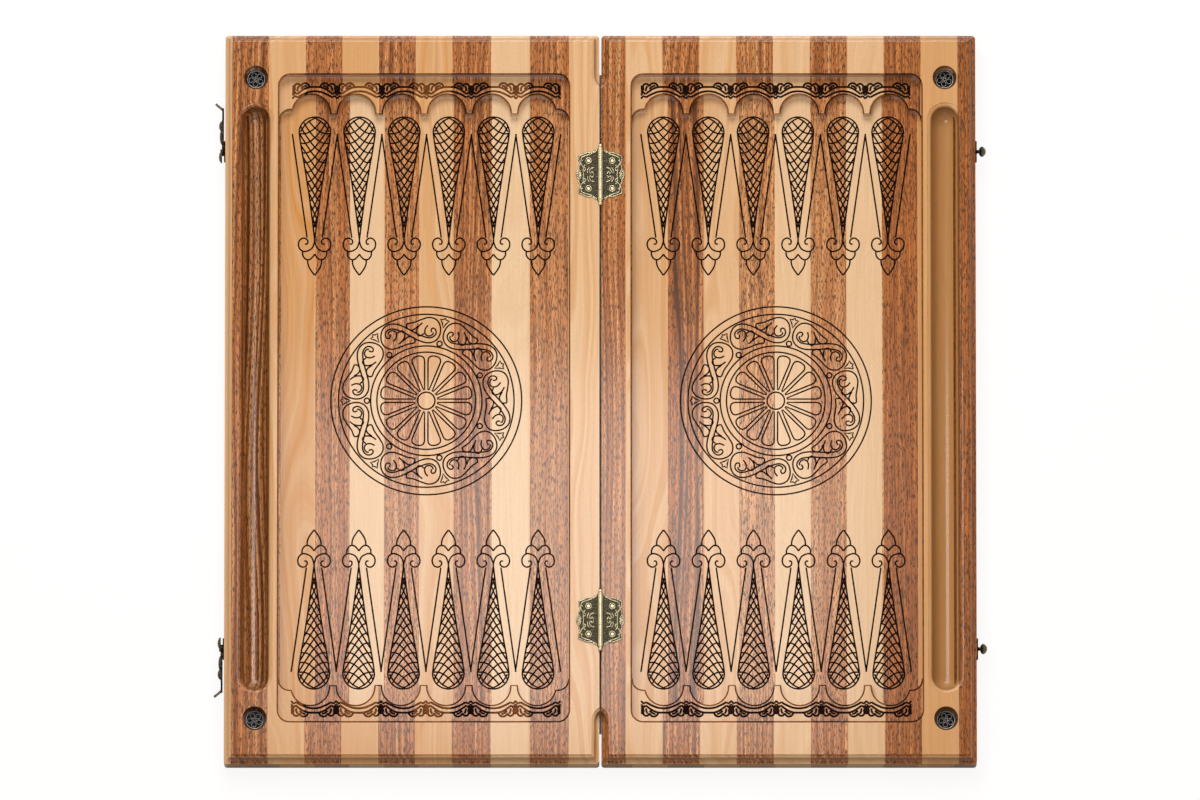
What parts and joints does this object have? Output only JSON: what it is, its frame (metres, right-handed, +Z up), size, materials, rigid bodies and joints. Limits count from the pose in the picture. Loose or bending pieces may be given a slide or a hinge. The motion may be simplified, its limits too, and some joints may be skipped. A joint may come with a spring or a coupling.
{
  "type": "backgammon board",
  "caption": "Folding wooden backgammon board of two striped halves with recessed scalloped fields, checker troughs, corner wells, surface hinges and side hooks.",
  "frame": {"origin": "middle of the seam between the open halves, on the surface the board rests on", "axes": "+X across the seam towards the half with the catches, +Y along the seam away from the player, +Z up"},
  "size_m": [0.627, 0.6, 0.0355],
  "materials": {
    "walnut": "glossy lacquer",
    "beech": "glossy lacquer",
    "bronze": "antiqued",
    "nickel": "polished"
  },
  "bodies": {
    "right_half": {"right_stave_1": "walnut", "right_stave_2": "beech", "right_stave_3": "walnut", "right_stave_4": "beech", "right_stave_5": "walnut", "right_stave_6": "beech", "right_stave_7": "walnut", "right_stave_8": "beech", "right_stave_9": "walnut", "right_stave_10": "beech", "right_stave_11": "walnut", "right_base_walnut": "walnut", "right_base_beech": "beech", "disc_right_far": "nickel", "disc_right_near": "nickel", "hinge_leaf_right_far": "bronze", "hinge_leaf_right_near": "bronze", "hinge_pin_far": "bronze", "hinge_pin_near": "bronze", "hinge_nails_right": "bronze", "catch_plate_far": "bronze", "catch_plate_near": "bronze", "catch_knob_far": "bronze", "catch_knob_near": "bronze", "catch_plate_nails": "bronze"},
    "left_half": {"left_stave_1": "beech", "left_stave_2": "walnut", "left_stave_3": "beech", "left_stave_4": "walnut", "left_stave_5": "beech", "left_stave_6": "walnut", "left_stave_7": "beech", "left_stave_8": "walnut", "left_stave_9": "beech", "left_stave_10": "walnut", "left_stave_11": "beech", "left_base_walnut": "walnut", "left_base_beech": "beech", "disc_left_far": "nickel", "disc_left_near": "nickel", "hinge_leaf_left_far": "bronze", "hinge_leaf_left_near": "bronze", "hinge_nails_left": "bronze", "hook_plate_far": "bronze", "hook_plate_near": "bronze", "hook_rivet_far": "bronze", "hook_rivet_near": "bronze", "hook_plate_nails": "bronze"},
    "hook_far": {"hook_far": "bronze"},
    "hook_near": {"hook_near": "bronze"}
  },
  "joints": [
    {"name": "fold", "type": "hinge", "parent": "right_half", "child": "left_half", "pos_m": [0, 0, 0.0335], "axis": [0, 1, 0], "range_deg": [0, 180]},
    {"name": "hook_far_swing", "type": "hinge", "parent": "left_half", "child": "hook_far", "pos_m": [-0.30695, 0.205, 0.0185], "axis": [1, 0, 0], "range_deg": [0, 90]},
    {"name": "hook_near_swing", "type": "hinge", "parent": "left_half", "child": "hook_near", "pos_m": [-0.30695, -0.205, 0.0185], "axis": [-1, 0, 0], "range_deg": [0, 90]}
  ]
}
